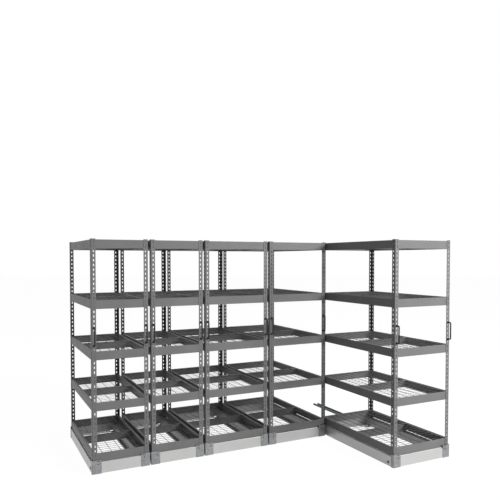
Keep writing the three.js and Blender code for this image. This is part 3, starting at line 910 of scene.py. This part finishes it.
def teeBlock():  # the shoe's stem and foot as one forged block
    bm = bmesh.new()
    stem, foot, rise = shoe["stem"] / 2, shoe["foot"] / 2, shoe["footTop"] - shoe["bottom"]
    height = shoe["top"] - shoe["bottom"]
    outline = [(-foot, 0), (foot, 0), (foot, rise), (stem, rise), (stem, height), (-stem, height),
               (-stem, rise), (-foot, rise)]
    face = bm.faces.new([bm.verts.new((x, 0, z)) for x, z in outline])
    run = bmesh.ops.extrude_face_region(bm, geom=[face])
    bmesh.ops.translate(bm, vec=(0, shoe["depth"], 0), verts=onlyVerts(run))
    closeSolid(bm)
    roundEdges(bm, bm.edges[:], shoe["edge"], 1)
    return bm


def addShoes(place, block, head):
    bm = bmesh.new()
    channelCentre = place["trackBox"][0][0] + channel["width"] / 2
    toRight = mirrorAt(xAxis, midX(place))
    rear = place["rear"] + shoe["behindPost"]
    for turn in (inPlace, toRight):
        pour(bm, block, turn @ shifted((channelCentre, rear - shoe["depth"], shoe["bottom"])))
        for way in (-1, 1):
            pour(bm, head, turn @ shifted((channelCentre + way * shoe["boltSpread"],
                                                      rear, shoe["boltRise"])))
    addPiece(bm, f"{place['name']}_anti_tip_shoes", "zincBolt", place["name"],
             [f"{place['name']}_base"])


bracketSheet, headOfBolt, stopperDisc, shoeBlock = bracketTemplate(), boltHead(), plugDisc(), teeBlock()
for place in places:
    addBase(place)
    addBrackets(place, bracketSheet, headOfBolt, stopperDisc)
    addShoes(place, shoeBlock, headOfBolt)
    addBushes(place)
    addTracks(place)
print("stage: bases and channels built")


# Wheelsets

frontWheel = {"radius": 0.044, "width": 0.032, "sideInset": 0.107, "tyreInner": 0.031, "round": 0.005,
              "cutShare": 0.3, "tyreSides": 36, "hub": 0.015, "hubReach": 0.007, "hubEdge": 0.002,
              "web": 0.009, "axle": 0.007, "rimInset": 0.001, "rimFall": 0.003, "rimRoot": 0.006,
              "rimSink": 0.0004, "rimSides": 24}
rearWheel = {"radius": 0.025, "width": 0.020, "sideInset": 0.051, "axle": 0.006, "groove": 0.0015,
             "grooveShares": (0.45, 0.5, 0.8, 0.85), "sides": 28}
axleEnd = {"chamfer": 0.0015, "sides": 16, "nut": 0.0132, "nutThickness": 0.0015, "nutInset": 0.0002,
           "nutSides": 6}


def closedTurn(profile, steps):
    return turned(profile + profile[:1], steps)


def bothSides(outline):  # the right half of a wheel's outline, and its mirror image
    return outline + [(-x, radius) for x, radius in reversed(outline)]


def tyre():
    half, outer, inner, soft = (frontWheel["width"] / 2, frontWheel["radius"], frontWheel["tyreInner"],
                                frontWheel["round"])
    cut = soft * frontWheel["cutShare"]
    return closedTurn([(-half, inner), (-half, outer - soft), (-half + cut, outer - cut),
                       (-half + soft, outer), (half - soft, outer), (half - cut, outer - cut),
                       (half, outer - soft), (half, inner)], frontWheel["tyreSides"])


def rim():
    half, hub, web = frontWheel["width"] / 2, frontWheel["hub"], frontWheel["web"]
    reach, bore = half + frontWheel["hubReach"], frontWheel["axle"]
    seat, edge, side = frontWheel["tyreInner"], frontWheel["hubEdge"], half - frontWheel["rimInset"]
    outline = [(reach, bore), (reach, hub - edge), (reach - edge, hub), (web, hub + edge),
               (web, seat - frontWheel["rimRoot"]), (side, seat - frontWheel["rimFall"]),
               (side, seat + frontWheel["rimSink"])]
    return closedTurn(bothSides(outline), frontWheel["rimSides"])


def roller():
    half, outer, bore, groove = (rearWheel["width"] / 2, rearWheel["radius"], rearWheel["axle"],
                                 rearWheel["groove"])
    edges = [outer * share for share in rearWheel["grooveShares"]]
    return closedTurn(bothSides([
        (half, bore), (half, edges[0]), (half - groove, edges[1]), (half - groove, edges[2]),
        (half, edges[3]), (half, outer - groove), (half - groove, outer)]), rearWheel["sides"])


def axleRod(reach, radius):
    trim = axleEnd["chamfer"]
    return turned([(-reach, 0), (-reach, radius - trim), (-reach + trim, radius), (reach - trim, radius),
                   (reach, radius - trim), (reach, 0)], axleEnd["sides"])


def addWheelset(place, key, sizes, wheels, rod):
    low, high = place[f"{key}WheelBox"]
    centre = [(a + b) / 2 for a, b in zip(low, high)]
    node, body = f"{place['name']}_{key}_wheels", f"{key}_wheels_{place['number']}"
    at = shifted(centre)
    reach = (high[0] - low[0]) / 2
    offset = (place["right"] - place["left"]) / 2 - sizes["sideInset"]
    axle = axleRod(reach, sizes["axle"])
    bm = bmesh.new()
    pour(bm, axle, at)
    for way in (-1, 1):
        nutX = way * (reach - axleEnd["nutThickness"] / 2 - axleEnd["nutInset"])
        addCone(bm, axleEnd["nutSides"], axleEnd["nut"], axleEnd["nutThickness"],
                at @ shifted((nutX, 0, 0)) @ aboutY)
    addPiece(bm, f"{place['name']}_{key}_axle", rod, body, [node], smooth=True)
    for part, (template, finish, slot) in wheels.items():
        bm = bmesh.new()
        for way in (-1, 1):
            pour(bm, template, at @ shifted((way * offset, 0, 0)))
        addPiece(bm, f"{place['name']}_{key}_{part}", finish, body, [node], smooth=True)


frontParts = {"tyres": (tyre(), "blackRubber", "wheel_tyre"), "rims": (rim(), "turnedSteel", "wheel_steel")}
rearParts = {"rollers": (roller(), "turnedSteel", "wheel_steel")}
for place in places:
    addWheelset(place, "front", frontWheel, frontParts, "darkSteel")
    addWheelset(place, "rear", rearWheel, rearParts, "turnedSteel")
print("stage: wheelsets mounted")


# Floor, light and camera

studio = {"floorReach": 60, "floorSides": 64, "floorDrop": 0.0004, "floorColour": (0.9, 0.9, 0.9, 1),
          "floorGlow": 0.9, "glowStrength": 1.08, "worldLight": 0.16,
          "keyPlace": (6.6, -8.4, 5.4), "keyAim": (0.2, -0.2, 1.0), "keySize": 4.0, "keyPower": 1200}
photoCamera = {"place": (-2.332, -4.6261, 1.7645), "pitch": 1.819, "yaw": 26.666, "sensor": 36,
               "focalPixels": 557.55, "pictureSize": 500, "centreRow": 277.5}


def seenWhite(tree):  # one for a ray that only shows the background
    path = addNode(tree, "ShaderNodeLightPath").outputs
    glints = sums(tree, "MAXIMUM", path["Is Glossy Ray"], path["Is Transmission Ray"])
    return sums(tree, "MAXIMUM", path["Is Camera Ray"], glints)


def layFloor():
    bm = bmesh.new()
    bmesh.ops.create_circle(bm, cap_ends=True, segments=studio["floorSides"],
                            radius=studio["floorReach"],
                            matrix=shifted((0, 0, -studio["floorDrop"])))
    mesh = meshFrom(bm, "floor")
    floor = newObject("floor", mesh)
    paper = bpy.data.materials.new("floorPaper")
    paper.use_nodes = True
    tree = paper.node_tree
    tree.nodes.remove(tree.nodes["Principled BSDF"])
    matt = addNode(tree, "ShaderNodeBsdfDiffuse", {"Color": studio["floorColour"]}).outputs[0]
    glow = addNode(tree, "ShaderNodeEmission", {"Color": (1, 1, 1, 1), "Strength": studio["glowStrength"]})
    glow = glow.outputs[0]
    share = sums(tree, "MULTIPLY", seenWhite(tree), studio["floorGlow"])
    blend = addNode(tree, "ShaderNodeMixShader", {0: share, 1: matt, 2: glow})
    tree.links.new(blend.outputs[0], tree.nodes["Material Output"].inputs["Surface"])
    mesh.materials.append(paper)


def hangLamp(name, place, aim, size, power):
    lamp = bpy.data.lights.new(name, "AREA")
    lamp.size = size
    lamp.energy = power
    holder = newObject(name, lamp)
    holder.location = place
    holder.rotation_euler = (Vector(aim) - Vector(place)).to_track_quat("-Z", "Y").to_euler()


def lightWorld():
    world = bpy.data.worlds.new("studio")
    bpy.context.scene.world = world
    world.use_nodes = True
    tree = world.node_tree
    strength = ranged(tree, seenWhite(tree), 0, 1, studio["worldLight"], 1)
    background = tree.nodes["Background"]
    background.inputs["Color"].default_value = (1, 1, 1, 1)
    tree.links.new(strength, background.inputs["Strength"])


def setCamera():
    camera = bpy.data.cameras.new("photoView")
    size = photoCamera["pictureSize"]
    camera.sensor_width = photoCamera["sensor"]
    camera.lens = photoCamera["focalPixels"] / size * photoCamera["sensor"]
    camera.shift_y = (photoCamera["centreRow"] - size / 2) / size
    holder = newObject("photoView", camera)
    holder.location = photoCamera["place"]
    holder.rotation_euler = (math.radians(90 - photoCamera["pitch"]), 0, -math.radians(photoCamera["yaw"]))
    bpy.context.scene.camera = holder


layFloor()
lightWorld()
hangLamp("keyLamp", studio["keyPlace"], studio["keyAim"], studio["keySize"], studio["keyPower"])
setCamera()
bpy.context.scene.view_settings.view_transform = "Standard"
print("stage: studio lit")
